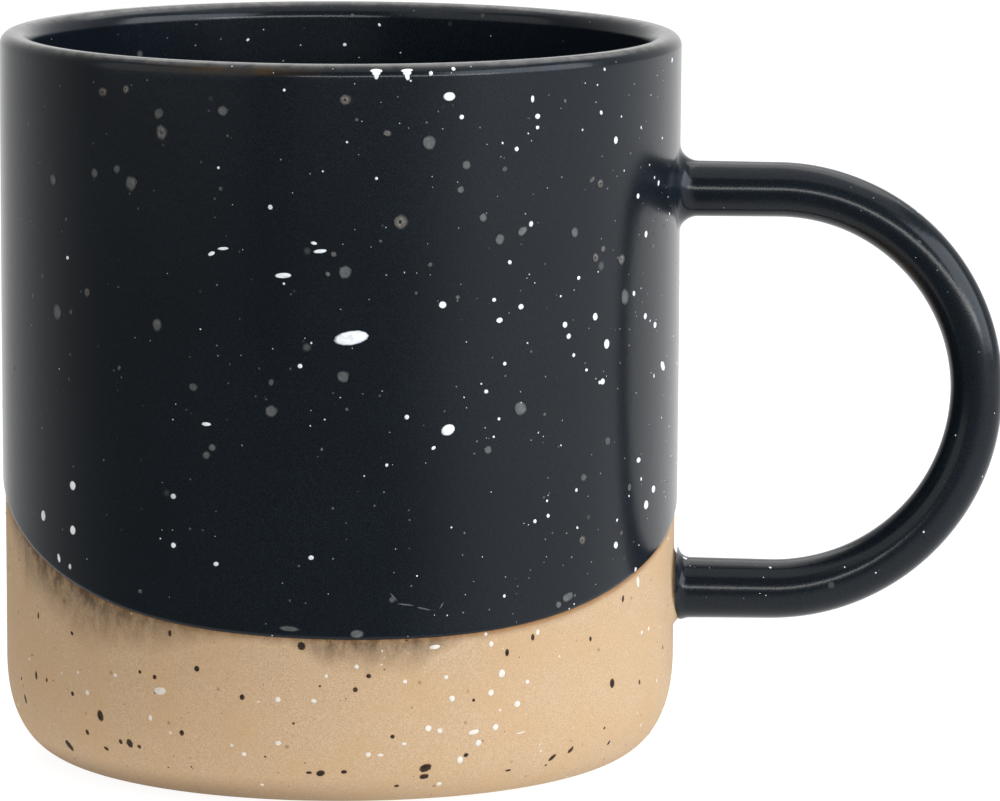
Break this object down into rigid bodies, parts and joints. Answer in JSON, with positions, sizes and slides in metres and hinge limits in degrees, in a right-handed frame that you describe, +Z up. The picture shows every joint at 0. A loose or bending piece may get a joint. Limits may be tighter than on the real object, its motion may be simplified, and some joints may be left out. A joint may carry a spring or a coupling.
{
  "type": "ceramic mug",
  "caption": "Straight-walled stoneware mug with a round D-shaped handle, dark speckled glaze dipped to a tilted line, and a bare tan clay foot, for hot drinks.",
  "frame": {"origin": "centre of the foot ring's plane, on the mug's axis", "axes": "+Z up along the mug's axis, +X out along the handle, +Y to the back, where the glaze line is highest"},
  "size_m": [0.1299, 0.088, 0.094],
  "materials": {
    "bare_clay": "unglazed, fine grain with dark and white specks",
    "navy_glaze": "satin, speckled with small white dots and grey blotches",
    "liner_glaze": "satin, lightly speckled"
  },
  "bodies": {
    "root": {"clay_body": "bare_clay", "handle": "bare_clay", "upper_slip_joint": "bare_clay", "lower_slip_joint": "bare_clay", "outer_glaze": "navy_glaze", "inner_glaze": "liner_glaze", "handle_glaze": "navy_glaze"}
  },
  "joints": []
}
